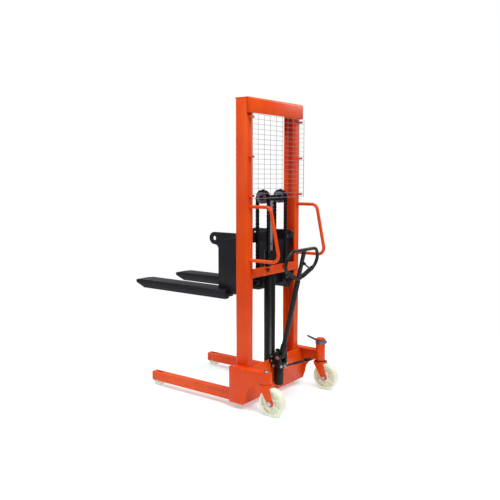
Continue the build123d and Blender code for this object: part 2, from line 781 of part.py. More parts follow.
def pedal():
    """Lowering pedal: a bent rod out to the right, thicker in its middle, with a foot pad."""
    x = -PUMP_HALF - 15
    start = (x + 5, PEDAL_Y, PEDAL_Z)
    end = (-232, 118, PAD_Z - 2)
    path = Polyline(start, (x - 25, PEDAL_Y + 8, PEDAL_Z + 1), end)
    rod = sweep(
        Plane(origin=path @ 0, z_dir=path % 0) * Circle(6.5), path=path,
        transition=Transition.ROUND,
    )
    sleeve_path = Line(path @ 0.45, path @ 0.75)
    sleeve = sweep(Plane(origin=sleeve_path @ 0, z_dir=sleeve_path % 0) * Circle(10), path=sleeve_path)
    pad = Pos(-240, 122, PAD_Z) * Rot(0, 0, -20) * Box(44, 34, 12)
    hub = rod_y(13, x, PEDAL_Y - 11, PEDAL_Y + 11, PEDAL_Z)
    hole = rod_y(6 + RUN, x, PEDAL_Y - 20, PEDAL_Y + 20, PEDAL_Z)
    return rod + sleeve + pad + hub - hole


def upright(shape):
    """Tiller pieces are drawn upright from the pivot, then leant back."""
    lean = Pos(0, PIVOT_Y, PIVOT_Z) * Rot(-TILLER_LEAN, 0, 0)
    return lean * shape


def loop_raw():
    """Closed bent-tube loop that is held in the hands."""
    points = (
        (-142, 756),
        (-192, 700),
        (-180, 630),
        (0, TILLER_L),
        (180, 630),
        (192, 700),
        (142, 756),
    )
    outline = make_face(Polyline(*points, close=True))
    outline = fillet(outline.vertices(), 26)
    path = (Plane.XZ * outline).wire()
    return tube_along(path, TUBE_R)


def tiller_crank():
    """Socket of the tiller with its pivot boss and pump nose."""
    lean = radians(TILLER_LEAN)
    nose_y = (PIVOT_Y - PLUNGER_Y + NOSE_Z * sin(lean)) / cos(lean)
    boss = rod_x(18, -SHAFT_R - 5, SHAFT_R + 5, 0, 0)
    neck = block(-SHAFT_R, SHAFT_R, -15, 15, 0, NOSE_Z)
    socket = rod_z(SHAFT_R + 5, 0, 0, 24, 84)
    nose = block(-9, 9, -nose_y, -8, NOSE_Z - 4, NOSE_Z + 8)
    tip = rod_x(8, -9, 9, -nose_y, NOSE_Z)
    body = boss + neck + socket + nose + tip
    body = body - rod_z(SHAFT_R, 0, 0, 34, 90)
    return upright(body - rod_x(9 + RUN, -30, 30, 0, 0))


def tiller_shaft():
    """Round tube up to the loop, and the flat stem inside the loop."""
    tube = rod_z(SHAFT_R, 0, 0, 34, TILLER_L - 4) - loop_raw()
    stem = block(-17, 17, -6, 6, TILLER_L + 2, 756) - loop_raw()
    pin = block(-29, -17, -5, 6, 650, 670) + rod_y(4, -24, 6, 16, 660)
    return group(upright(tube), upright(stem + pin))


def grip(side):
    """Ribbed sleeve on the lower side of the loop."""
    a = (side * 44, TILLER_L + 20.2)
    b = (side * 150, TILLER_L + 68.5)
    path = Plane.XZ * Line(a, b)
    start = Plane(origin=path @ 0, z_dir=path % 0)
    sleeve = sweep(start * Circle(TUBE_R + 4), path=path)
    return upright(sleeve - loop_raw())


def release_lever():
    """Small lever on the stem that lets the load down."""
    hub = rod_y(9, -24, 6.4, 14, 660)
    arm = Plane.XZ.offset(-14) * make_face(
        Polyline((-20, 665), (-104, 622), (-100, 614), (-24, 652), close=True)
    )
    body = hub + extrude(arm, amount=6)
    return upright(body - rod_y(4 + RUN, -24, 0, 30, 660))


def make_all():
    """Every piece by its name."""
    yoke_l = swivel_yoke(CASTER_X, HOUSING_Z1_LEFT - 1)
    yoke_r = swivel_yoke(-CASTER_X, HOUSING_Z1_RIGHT + 29)
    low, high = ROLLER_Z
    lower_bar_z = CAR_BOTTOM + 31
    return {
        "mast_channel_left": mast_channel(),
        "mast_channel_right": flip(mast_channel()),
        "mast_top_beam": mast_top_beam(),
        "mast_cross_brace": mast_cross_brace(),
        "rear_chain_anchors": rear_chain_anchors(),
        "grab_handles": group(grab_handle(), flip(grab_handle())),
        "mesh_guard": mesh_guard(),
        "guard_clips": guard_clips(),
        "base_side_left": base_side(),
        "base_side_right": flip(base_side()),
        "base_rear_plate": base_rear_plate(),
        "base_floor_plate": base_floor_plate(),
        "support_leg_left": support_leg(),
        "support_leg_right": flip(support_leg()),
        "load_roller_pins": load_roller_pins(),
        "load_roller_left": load_roller(),
        "load_roller_right": flip(load_roller()),
        "caster_housing_left": caster_housing_left(),
        "caster_housing_right": caster_housing_right(),
        "housing_caps": group(cap_left(), cap_right()),
        "swivel_yoke_left": yoke_l,
        "swivel_yoke_right": yoke_r,
        "brake_disc_right": brake_disc(),
        "axle_bolt_left": axle_bolt(CASTER_X),
        "axle_bolt_right": axle_bolt(-CASTER_X),
        "caster_wheel_left": caster_wheel(CASTER_X),
        "caster_wheel_right": caster_wheel(-CASTER_X),
        "brake_lever": brake_lever(),
        "cylinder_barrel": cylinder_barrel(),
        "gland_nut": gland_nut(),
        "piston_rod": piston_rod(),
        "crosshead": crosshead(),
        "sheave_left": sheave(),
        "sheave_right": flip(sheave()),
        "chain_wraps": chain_wraps(),
        "chain_front": chain_front(),
        "chain_rear": chain_rear(),
        "carriage_side_left": carriage_side(),
        "carriage_side_right": flip(carriage_side()),
        "carriage_bars": group(carriage_bar(CAR_TOP - CROSS_H), carriage_bar(lower_bar_z)),
        "carriage_front_bar": carriage_front_bar(),
        "front_chain_anchors": front_chain_anchors(),
        "roller_pins": roller_pins(),
        "roller_low_left": carriage_roller(low),
        "roller_high_left": carriage_roller(high),
        "roller_low_right": flip(carriage_roller(low)),
        "roller_high_right": flip(carriage_roller(high)),
        "fork_left": fork(),
        "fork_right": flip(fork()),
    }


def make_pump():
    """Pump, pedal and tiller pieces by name."""
    return {
        "pump_block": pump_block(),
        "pump_tank": pump_barrel(),
        "pump_fittings": pump_fittings(),
        "pump_plunger": pump_plunger(),
        "pump_pins": pump_pins(),
        "pedal": pedal(),
        "tiller_crank": tiller_crank(),
        "tiller_shaft": tiller_shaft(),
        "tiller_loop": upright(loop_raw()),
        "grips": group(grip(1), grip(-1)),
        "release_lever": release_lever(),
    }


os.makedirs("parts", exist_ok=True)
pieces = make_all()
pieces.update(make_pump())
for name, shape in pieces.items():
    export_step(Pos(0, Y_SHIFT, 0) * shape, "parts/" + name + ".step")
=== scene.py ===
"""Looks of the walkie stacker: finished meshes and materials on the CAD frame. Metres, +Z up."""

import json
import math

import bmesh
import bpy
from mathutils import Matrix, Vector


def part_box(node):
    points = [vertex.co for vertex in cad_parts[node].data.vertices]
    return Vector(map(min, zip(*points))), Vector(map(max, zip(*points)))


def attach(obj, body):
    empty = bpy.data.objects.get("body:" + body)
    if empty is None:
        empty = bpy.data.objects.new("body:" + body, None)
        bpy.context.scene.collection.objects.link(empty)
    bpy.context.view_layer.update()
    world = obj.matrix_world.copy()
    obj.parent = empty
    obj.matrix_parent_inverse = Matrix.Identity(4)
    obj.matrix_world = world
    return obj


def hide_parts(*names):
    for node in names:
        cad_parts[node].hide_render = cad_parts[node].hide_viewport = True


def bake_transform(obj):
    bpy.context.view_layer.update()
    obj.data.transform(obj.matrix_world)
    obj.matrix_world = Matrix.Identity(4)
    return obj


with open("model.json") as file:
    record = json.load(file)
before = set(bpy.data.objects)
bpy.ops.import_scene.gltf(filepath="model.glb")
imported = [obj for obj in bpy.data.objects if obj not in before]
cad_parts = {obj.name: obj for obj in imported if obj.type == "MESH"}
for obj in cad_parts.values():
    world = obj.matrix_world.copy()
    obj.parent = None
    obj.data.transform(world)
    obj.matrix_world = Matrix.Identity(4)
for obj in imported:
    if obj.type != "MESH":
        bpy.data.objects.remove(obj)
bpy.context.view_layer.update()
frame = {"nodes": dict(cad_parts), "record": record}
bodies = frame["record"]["behaviour"]["bodies"]
BODY_OF = {node: body for body, nodes in bodies.items() for node in nodes}
MM = 0.001


# ---------------------------------------------------------------- camera, light, floor
def aim(obj, place, target):
    """Puts obj at place, looking at target."""
    obj.location = place
    obj.rotation_mode = "QUATERNION"
    obj.rotation_quaternion = (Vector(target) - Vector(place)).to_track_quat("-Z", "Y")


def make_camera():
    """A 46 mm lens, seen from the rear left at eye height."""
    azimuth = math.radians(126.775)
    elevation = math.radians(6.537)
    data = bpy.data.cameras.new("camera")
    data.sensor_width = 36.0
    data.lens = 46.215
    camera = bpy.data.objects.new("camera", data)
    bpy.context.collection.objects.link(camera)
    place = Vector((3.51557, 2.79653, 1.49132))
    out = Vector((
        math.sin(azimuth) * math.cos(elevation),
        -math.cos(azimuth) * math.cos(elevation),
        math.sin(elevation),
    ))
    aim(camera, place, place - out)
    bpy.context.scene.camera = camera


def area_light(name, place, target, size, power):
    """A square soft box."""
    data = bpy.data.lights.new(name, "AREA")
    data.size = size
    data.energy = power
    light = bpy.data.objects.new(name, data)
    bpy.context.collection.objects.link(light)
    aim(light, place, target)


def linear(hex_colour):
    """sRGB hex to linear RGBA."""
    out = []
    for i in (1, 3, 5):
        c = int(hex_colour[i:i + 2], 16) / 255
        out.append(c / 12.92 if c <= 0.04045 else ((c + 0.055) / 1.055) ** 2.4)
    return (*out, 1.0)


def node(tree, kind, sockets=None, **settings):
    """Adds a node, sets its settings, and sets or links its inputs."""
    made = tree.nodes.new(kind)
    for name, value in settings.items():
        setattr(made, name, value)
    for name, value in (sockets or {}).items():
        if isinstance(value, bpy.types.NodeSocket):
            tree.links.new(value, made.inputs[name])
        else:
            made.inputs[name].default_value = value
    return made


def make_studio():
    """White floor, five soft boxes round and over the machine, and a pale sky."""
    world = bpy.data.worlds.new("studio")
    bpy.context.scene.world = world
    world.use_nodes = True
    tree = world.node_tree
    tree.nodes.clear()
    path = node(tree, "ShaderNodeLightPath")
    seen = node(tree, "ShaderNodeBackground", {"Color": (1, 1, 1, 1), "Strength": 1.0})
    cast = node(tree, "ShaderNodeBackground", {"Color": (0.97, 0.98, 1.0, 1), "Strength": 0.3})
    looked_at = path.outputs["Is Camera Ray"]
    mix = node(tree, "ShaderNodeMixShader", {0: looked_at, 1: cast.outputs[0], 2: seen.outputs[0]})
    node(tree, "ShaderNodeOutputWorld", {"Surface": mix.outputs[0]})
    middle = (0, 0, 0.9)
    area_light("key", (1.6, 3.6, 5.4), middle, 2.0, 200)
    area_light("fill", (5.4, -1.6, 3.0), middle, 2.2, 66)
    area_light("rim", (-4.2, 1.2, 3.6), middle, 2.4, 60)
    area_light("top", (0.2, 0.3, 5.8), middle, 3.6, 210)
    area_light("front", (-1.0, -5.2, 3.4), middle, 3.0, 110)
    mesh = bpy.data.meshes.new("floor")
    half = 40
    corners = [(-half, -half, 0), (half, -half, 0), (half, half, 0), (-half, half, 0)]
    mesh.from_pydata(corners, [], [(0, 1, 2, 3)])
    floor = bpy.data.objects.new("floor", mesh)
    bpy.context.collection.objects.link(floor)
    mesh.materials.append(studio_paper())


def studio_paper():
    """White paper that takes soft shadows near the machine and runs out to plain white."""
    paper = bpy.data.materials.new("studio_paper")
    paper.use_nodes = True
    tree = paper.node_tree
    shader = tree.nodes["Principled BSDF"]
    where = node(tree, "ShaderNodeTexCoord").outputs["Object"]
    out = node(tree, "ShaderNodeVectorMath", {0: where}, operation="LENGTH").outputs["Value"]
    fade = node(tree, "ShaderNodeMapRange", {"Value": out, "From Min": 1.6, "From Max": 2.8}).outputs[0]
    shader.inputs["Base Color"].default_value = (0.66, 0.76, 0.78, 1)
    shader.inputs["Roughness"].default_value = 0.9
    shader.inputs["Specular IOR Level"].default_value = 0.1
    shader.inputs["Emission Color"].default_value = (1, 1, 1, 1)
    shader.inputs["Emission Strength"].default_value = 0.31
    clear = node(tree, "ShaderNodeBsdfTransparent")
    mix = node(tree, "ShaderNodeMixShader", {0: fade, 1: shader.outputs[0], 2: clear.outputs[0]})
    tree.links.new(mix.outputs[0], tree.nodes["Material Output"].inputs["Surface"])
    return paper


make_camera()
make_studio()
bpy.context.scene.view_settings.view_transform = "Standard"


# ---------------------------------------------------------------- materials
def new_material(name):
    """An empty material: its tree, its object coordinates and its shader."""
    material = bpy.data.materials.new(name)
    material.use_nodes = True
    tree = material.node_tree
    shader = tree.nodes["Principled BSDF"]
    where = node(tree, "ShaderNodeTexCoord").outputs["Object"]
    return material, tree, shader, where


def ramp(tree, factor, low, high, dark, light):
    """Blends two hex colours as factor goes from low to high."""
    made = node(tree, "ShaderNodeValToRGB", {"Fac": factor})
    made.color_ramp.elements[0].position = low
    made.color_ramp.elements[0].color = linear(dark)
    made.color_ramp.elements[1].position = high
    made.color_ramp.elements[1].color = linear(light)
    return made.outputs["Color"]


def stretch(tree, where, scale):
    """Object coordinates scaled by (x, y, z)."""
    return node(tree, "ShaderNodeMapping", {"Vector": where, "Scale": scale}).outputs[0]


def noise(tree, where, size_mm, detail=3.0, rough=0.5):
    """Noise whose blotches are about size_mm across."""
    return node(
        tree, "ShaderNodeTexNoise",
        {"Vector": where, "Scale": 1000 / size_mm, "Detail": detail, "Roughness": rough},
    ).outputs["Fac"]


def spread(tree, factor, low, high, low_out, high_out):
    """Maps factor from one range to another, clamped."""
    return node(
        tree, "ShaderNodeMapRange",
        {"Value": factor, "From Min": low, "From Max": high, "To Min": low_out, "To Max": high_out},
    ).outputs[0]


def bump(tree, height, depth_mm, strength=1.0):
    """Surface relief of a given depth."""
    return node(
        tree, "ShaderNodeBump", {"Height": height, "Distance": depth_mm * MM, "Strength": strength},
    ).outputs["Normal"]


def mixed(tree, factor, a, b):
    """Colour a where factor is 0 and b where it is 1."""
    return node(tree, "ShaderNodeMix", {"Factor": factor, 6: a, 7: b}, data_type="RGBA").outputs[2]


def powder_coat(name, dark, light, scuff, grime):
    """Sprayed and baked powder paint: glossy, with a fine orange peel and a little dust low down."""
    material, tree, shader, where = new_material(name)
    cloud = noise(tree, where, 260, 2)
    colour = ramp(tree, cloud, 0.35, 0.7, dark, light)
    runs = noise(tree, stretch(tree, where, (1, 1, 0.1)), 60, 2)
    colour = mixed(tree, spread(tree, runs, 0.45, 0.75, 0.0, 0.22), colour, linear(scuff))
    height = node(tree, "ShaderNodeSeparateXYZ", {"Vector": where}).outputs["Z"]
    low = spread(tree, height, 0.02, 0.22, 1.0, 0.0)
    speck = spread(tree, noise(tree, where, 34, 3), 0.45, 0.75, 0.0, 0.22)
    dust = node(tree, "ShaderNodeMath", {0: low, 1: speck}, operation="MULTIPLY").outputs[0]
    colour = mixed(tree, dust, colour, linear(grime))
    tree.links.new(colour, shader.inputs["Base Color"])
    rough = spread(tree, noise(tree, where, 40, 3), 0.3, 0.7, 0.3, 0.4)
    rough = node(tree, "ShaderNodeMath", {0: rough, 1: spread(tree, dust, 0, 0.5, 0.0, 0.3)}, operation="ADD")
    tree.links.new(rough.outputs[0], shader.inputs["Roughness"])
    peel = noise(tree, where, 14, 1)
    tree.links.new(bump(tree, peel, 0.15, 0.1), shader.inputs["Normal"])
    shader.inputs["IOR"].default_value = 1.5
    shader.inputs["Specular IOR Level"].default_value = 0.2
    return material


def black_enamel(name, dark, light, rub_and_sheen, gloss):
    """Sprayed black enamel, rubbed along its length where loads slide; the grey rub is strongest on upward faces,
    where it is a painted sheen.
    """
    material, tree, shader, where = new_material(name)
    cloud = noise(tree, where, 120, 3)
    colour = ramp(tree, cloud, 0.3, 0.75, dark, light)
    line = noise(tree, stretch(tree, where, (1.0, 0.05, 1.0)), 9, 4, 0.65)
    wear_and_sheen = spread(tree, line, 0.6, 0.78, 0.0, 0.55)
    # The grey streaks are wear; upward faces get the most of them, a painted sheen where light falls on the tops.
    up = node(tree, "ShaderNodeSeparateXYZ", {"Vector": node(tree, "ShaderNodeNewGeometry").outputs["Normal"]})
    top_sheen = spread(tree, up.outputs["Z"], 0.85, 0.98, 0.15, 1.0)
    wear_and_sheen = node(tree, "ShaderNodeMath", {0: wear_and_sheen, 1: top_sheen}, operation="MULTIPLY").outputs[0]
    colour = mixed(tree, wear_and_sheen, colour, linear(rub_and_sheen))
    tree.links.new(colour, shader.inputs["Base Color"])
    rough = spread(tree, noise(tree, where, 30, 3), 0.3, 0.7, gloss, gloss + 0.12)
    tree.links.new(rough, shader.inputs["Roughness"])
    tree.links.new(bump(tree, noise(tree, where, 6, 2), 0.3, 0.35), shader.inputs["Normal"])
    shader.inputs["IOR"].default_value = 1.5
    shader.inputs["Specular IOR Level"].default_value = 0.28
    return material


def bare_metal(name, dark, light, roughness, grain_mm, stretch_by, relief):
    """Bare or plated steel with tool marks that run one way."""
    material, tree, shader, where = new_material(name)
    grain = noise(tree, stretch(tree, where, stretch_by), grain_mm, 4, 0.6)
    colour = ramp(tree, grain, 0.3, 0.7, dark, light)
    tree.links.new(colour, shader.inputs["Base Color"])
    tree.links.new(spread(tree, grain, 0.3, 0.7, roughness - 0.06, roughness + 0.1), shader.inputs["Roughness"])
    tree.links.new(bump(tree, grain, relief, 0.5), shader.inputs["Normal"])
    shader.inputs["Metallic"].default_value = 1.0
    return material


def cast_nylon(name, dark, light, dirt):
    """Cast polyamide: waxy ivory, slightly see-through at the edge, scuffed grey on the tread."""
    material, tree, shader, where = new_material(name)
    colour = ramp(tree, noise(tree, where, 60, 3), 0.35, 0.7, dark, light)
    spots = spread(tree, noise(tree, where, 14, 5, 0.7), 0.55, 0.8, 0.0, 0.4)
    colour = mixed(tree, spots, colour, linear(dirt))
    tree.links.new(colour, shader.inputs["Base Color"])
    tree.links.new(spread(tree, noise(tree, where, 20, 3), 0.3, 0.7, 0.38, 0.52), shader.inputs["Roughness"])
    tree.links.new(bump(tree, noise(tree, where, 7, 3), 0.4, 0.35), shader.inputs["Normal"])
    shader.inputs["IOR"].default_value = 1.53
    shader.inputs["Subsurface Weight"].default_value = 0.15
    shader.inputs["Subsurface Radius"].default_value = (0.006, 0.005, 0.003)
    shader.inputs["Subsurface Scale"].default_value = 1.0
    return material


def moulded_rubber(name, dark, light):
    """Moulded black rubber: matt, with a fine grain."""
    material, tree, shader, where = new_material(name)
    tree.links.new(ramp(tree, noise(tree, where, 18, 3), 0.3, 0.7, dark, light), shader.inputs["Base Color"])
    tree.links.new(bump(tree, noise(tree, where, 1.6, 2), 0.25, 0.6), shader.inputs["Normal"])
    shader.inputs["Roughness"].default_value = 0.72
    shader.inputs["IOR"].default_value = 1.52
    return material


# Each finish is named for what the real part is made of and how its surface was made.
FINISH = {
    # Sprayed and baked polyester powder: deep orange, softly glossy, cloudy from part to part.
    "frame_paint": powder_coat("orange_powder_coat", "#DC4006", "#E64E0A", "#EE621A", "#7F3C22"),
    # Sprayed enamel on the lifting parts: near black with a violet cast, with grey rubbed streaks that are partly
    # wear and partly a painted sheen on the tops.
    "lift_paint": black_enamel("black_fork_enamel", "#141118", "#1C1821", "#77737F", 0.36),
    # Sprayed enamel on pump, cylinder and tiller: cleaner and a little glossier, with a faint painted sheen on its
    # tops.
    "pump_paint": black_enamel("black_pump_enamel", "#0D0D0F", "#141416", "#26262B", 0.32),
    # Oiled carbon steel links: dark, with a soft greasy shine.
    "chain_steel": bare_metal("oiled_chain_steel", "#1A181D", "#39363D", 0.38, 4, (1, 1, 1), 0.3),
    # Turned steel sheaves: grey with fine rings from the lathe.
    "sheave_steel": bare_metal("turned_steel", "#6A6775", "#8A8796", 0.4, 3, (0.2, 1, 1), 0.15),
    # Ground and hard-chromed rod: bright, with faint marks along its length.
    "rod_chrome": bare_metal("hard_chrome", "#C9CBD0", "#DEE0E4", 0.12, 12, (1, 1, 0.1), 0.02),
    # Bright zinc plate on bolts, pins and caps: pale grey, slightly cloudy.
    "zinc_steel": bare_metal("zinc_plate", "#A2A4AB", "#C6C8CF", 0.32, 6, (1, 1, 1), 0.1),
    # Drawn and galvanised wire: mid grey and dull.
    "guard_wire": bare_metal("zinc_wire", "#8C8E94", "#ABADB3", 0.45, 5, (1, 1, 1), 0.1),
    # Cast polyamide wheels: waxy ivory with a green cast and grey scuffs.
    "nylon": cast_nylon("cast_nylon", "#DEDDC2", "#ECEBD6", "#B3B59A"),
    # Moulded rubber on the grips and the pedal: matt black.
    "grip_rubber": moulded_rubber("ribbed_grip_rubber", "#0F0F11", "#19191C"),
    # Sand-cast steel clamp: dull violet grey with a coarse skin.
    "brake_steel": bare_metal("grey_cast_clamp", "#625F6E", "#85828F", 0.48, 5, (1, 1, 1), 0.4),
}
SLOT_OF = {s["node"]: s["material_slot"] for s in frame["record"]["subparts"]}


# ---------------------------------------------------------------- places
MAST_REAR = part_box("mast_channel_left")[1].y
POST_IN = 244.5
POST_OUT = 305.5
POST_FRONT = -95
FLANGE_T = 8.5
WEB_T = 6
PLATE_T = 6


def at(x, y, z):
    """A point in metres from millimetres, with y measured from the rear face of the posts."""
    return Vector((x * MM, y * MM + MAST_REAR, z * MM))


# ---------------------------------------------------------------- mesh helpers
def add_piece(name, mesh, slot, body, *stands_for):
    """Links a finished mesh as a piece that rides on a body."""
    piece = loose_piece(name, mesh, slot)
    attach(piece, body)
    if stands_for:
        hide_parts(*stands_for)
    return piece


def loose_piece(name, mesh, slot):
    """Links a finished mesh that rides on nothing yet."""
    mesh.materials.clear()
    mesh.materials.append(FINISH[slot])
    for face in mesh.polygons:
        face.material_index = 0
    piece = bpy.data.objects.new(name, mesh)
    bpy.context.collection.objects.link(piece)
    return piece


def smooth(mesh, angle=32):
    """Smooth shading that stays sharp at corners."""
    for face in mesh.polygons:
        face.use_smooth = True
    mesh.set_sharp_from_angle(angle=math.radians(angle))


def applied(obj):
    """The evaluated mesh of obj as plain data; obj itself is removed."""
    bpy.context.view_layer.update()
    graph = bpy.context.evaluated_depsgraph_get()
    mesh = bpy.data.meshes.new_from_object(obj.evaluated_get(graph), depsgraph=graph)
    bpy.data.objects.remove(obj)
    return mesh


def finished(form, angle=32):
    """A bmesh written out with outward faces and smooth shading."""
    bmesh.ops.remove_doubles(form, verts=form.verts, dist=2e-6)
    bmesh.ops.recalc_face_normals(form, faces=form.faces)
    mesh = bpy.data.meshes.new("form")
    form.to_mesh(mesh)
    form.free()
    smooth(mesh, angle)
    return mesh


def rounded(corners, segments=5):
    """A closed outline from (u, v, radius) corners, each turned with its own radius."""
    outline = []
    count = len(corners)
    for i, (u, v, radius) in enumerate(corners):
        here = Vector((u, v))
        if radius <= 0:
            outline.append(here)
            continue
        back = (Vector(corners[i - 1][:2]) - here).normalized()
        ahead = (Vector(corners[(i + 1) % count][:2]) - here).normalized()
        half = back.angle(ahead) / 2
        reach = radius / math.tan(half)
        centre = here + (back + ahead).normalized() * (radius / math.sin(half))
        first = here + back * reach - centre
        last = here + ahead * reach - centre
        for k in range(segments + 1):
            part = first.lerp(last, k / segments)
            outline.append(centre + part.normalized() * radius)
    return outline


def drawn_out(outline, low, high, place, edge=0.8):
    """A bar of the outline's section from low to high; place(u, v, w) gives each point."""
    form = bmesh.new()
    ends = []
    for w in (low, high):
        ends.append([form.verts.new(place(u, v, w)) for u, v in outline])
    count = len(outline)
    for i in range(count):
        k = (i + 1) % count
        form.faces.new((ends[0][i], ends[0][k], ends[1][k], ends[1][i]))
    form.faces.new(ends[0])
    form.faces.new(ends[1])
    bmesh.ops.recalc_face_normals(form, faces=form.faces)
    rim = [e for e in form.edges if e.calc_face_angle(0) > math.radians(60)]
    bmesh.ops.bevel(form, geom=rim, offset=edge * MM, segments=2, profile=0.5, affect="EDGES", clamp_overlap=True)
    return form


def turned(profile, centre, axis, sides=48):
    """A lathe form from (radius, height) steps about an axis through centre."""
    form = bmesh.new()
    turn = Vector((0, 0, 1)).rotation_difference(Vector(axis)).to_matrix()
    rings = []
    for radius, height in profile:
        ring = []
        for k in range(sides if radius > 0 else 1):
            t = 2 * math.pi * k / sides
            spot = Vector((radius * math.cos(t), radius * math.sin(t), height)) * MM
            ring.append(form.verts.new(Vector(centre) + turn @ spot))
        rings.append(ring)
    for low, high in zip(rings, rings[1:]):
        for k in range(sides):
            n = (k + 1) % sides
            if len(low) == 1:
                form.faces.new((low[0], high[n], high[k]))
            elif len(high) == 1:
                form.faces.new((low[k], low[n], high[0]))
            else:
                form.faces.new((low[k], low[n], high[n], high[k]))
    return form


def joined(*forms):
    """Several bmeshes as one."""
    whole = bmesh.new()
    for form in forms:
        mesh = bpy.data.meshes.new("part")
        form.to_mesh(mesh)
        form.free()
        whole.from_mesh(mesh)
        bpy.data.meshes.remove(mesh)
    return whole


def joined_meshes(*meshes):
    """Several plain meshes as one bmesh."""
    whole = bmesh.new()
    for mesh in meshes:
        whole.from_mesh(mesh)
    return whole


def softened(cad_node, width_mm, segments=2, slot=None, bold=None):
    """A copy of a CAD node with its outer corners rounded; bold is a wider radius and a test that picks its edges."""
    form = bmesh.new()
    form.from_mesh(frame["nodes"][cad_node].data)
    bmesh.ops.remove_doubles(form, verts=form.verts, dist=2e-6)
    bmesh.ops.dissolve_limit(form, angle_limit=math.radians(0.6), verts=form.verts, edges=form.edges)
    passes = [(width_mm, None)] if bold is None else [bold, (width_mm, None)]
    for width, picks in passes:
        rim = []
        for edge in form.edges:
            if edge.is_manifold and edge.is_convex and edge.calc_face_angle(0) > math.radians(38):
                if picks is None or picks(edge):
                    rim.append(edge)
        bmesh.ops.bevel(
            form, geom=rim, offset=width * MM, segments=segments + (picks is not None) * 2,
            profile=0.5, affect="EDGES", clamp_overlap=True,
        )
    mesh = bpy.data.meshes.new("form")
    form.to_mesh(mesh)
    form.free()
    smooth(mesh)
    slot = slot or SLOT_OF[cad_node]
    return add_piece(cad_node + "_finish", mesh, slot, BODY_OF[cad_node], cad_node)


# ---------------------------------------------------------------- rows of small shapes
def row_tree():
    """Copies of one shape at a spacing along a path, its Z turned along the path."""
    tree = bpy.data.node_groups.new("row_of_shapes", "GeometryNodeTree")
    face = tree.interface
    face.new_socket("Geometry", in_out="OUTPUT", socket_type="NodeSocketGeometry")
    face.new_socket("Path", in_out="INPUT", socket_type="NodeSocketGeometry")
    face.new_socket("Shape", in_out="INPUT", socket_type="NodeSocketObject")
    face.new_socket("Spacing", in_out="INPUT", socket_type="NodeSocketFloat")
    face.new_socket("Size Change", in_out="INPUT", socket_type="NodeSocketFloat")
    face.new_socket("Seed", in_out="INPUT", socket_type="NodeSocketInt")
    face.new_socket("Finish", in_out="INPUT", socket_type="NodeSocketMaterial")
    given = node(tree, "NodeGroupInput").outputs
    line = node(tree, "GeometryNodeMeshToCurve", {"Mesh": given["Path"]})
    spots = node(
        tree, "GeometryNodeResampleCurve", {"Curve": line.outputs[0], "Length": given["Spacing"]}, mode="LENGTH",
    )
    along = node(tree, "GeometryNodeInputTangent").outputs[0]
    turn = node(tree, "FunctionNodeAlignRotationToVector", {"Vector": along}, axis="Z")
    shape = node(tree, "GeometryNodeObjectInfo", {"Object": given["Shape"]}).outputs["Geometry"]
    less = node(tree, "ShaderNodeMath", {0: 1.0, 1: given["Size Change"]}, operation="SUBTRACT").outputs[0]
    size = node(tree, "FunctionNodeRandomValue", {2: less, 3: 1.0, "Seed": given["Seed"]}, data_type="FLOAT")
    copies = node(
        tree, "GeometryNodeInstanceOnPoints",
        {"Points": spots.outputs[0], "Instance": shape, "Rotation": turn.outputs[0], "Scale": size.outputs[1]},
    )
    plain = node(tree, "GeometryNodeRealizeInstances", {"Geometry": copies.outputs[0]})
    done = node(tree, "GeometryNodeSetMaterial", {"Geometry": plain.outputs[0], "Material": given["Finish"]})
    node(tree, "NodeGroupOutput", {"Geometry": done.outputs[0]})
    return tree


ROW = row_tree()


def path_mesh(*lines):
    """Lines of points as loose edges."""
    points = []
    edges = []
    for line in lines:
        start = len(points)
        points.extend(line)
        edges.extend((start + i, start + i + 1) for i in range(len(line) - 1))
    mesh = bpy.data.meshes.new("path")
    mesh.from_pydata(points, edges, [])
    return mesh


def row_of(shape, spacing_mm, slot, *lines, change=0.0, angle=32):
    """The plain mesh of a shape repeated along lines of points."""
    pattern = bpy.data.objects.new("pattern", shape)
    work = bpy.data.objects.new("work", path_mesh(*lines))
    bpy.context.collection.objects.link(work)
    grow = work.modifiers.new("grow", "NODES")
    grow.node_group = ROW
    values = {
        "Shape": pattern, "Spacing": spacing_mm * MM, "Size Change": change, "Seed": 7, "Finish": FINISH[slot],
    }
    for socket in ROW.interface.items_tree:
        if socket.in_out == "INPUT" and socket.name in values:
            grow[socket.identifier] = values[socket.name]
    mesh = applied(work)
    bpy.data.objects.remove(pattern)
    smooth(mesh, angle)
    return mesh


# ---------------------------------------------------------------- mast
def drawn_channel(side, name):
    """Rolled C-channel post with full outer corner radii."""
    low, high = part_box(name)
    web = POST_OUT - WEB_T
    corners = [
        (POST_OUT, 0, 14), (POST_IN, 0, 2.5), (POST_IN, -FLANGE_T, 2.5), (web, -FLANGE_T, 8),
        (web, POST_FRONT + FLANGE_T, 8), (POST_IN, POST_FRONT + FLANGE_T, 2.5),
        (POST_IN, POST_FRONT, 2.5), (POST_OUT, POST_FRONT, 14),
    ]
    form = drawn_out(rounded(corners), low.z / MM, high.z / MM, lambda u, v, w: at(side * u, v, w), 0.6)
    add_piece(name + "_finish", finished(form, 40), "frame_paint", BODY_OF[name], name)


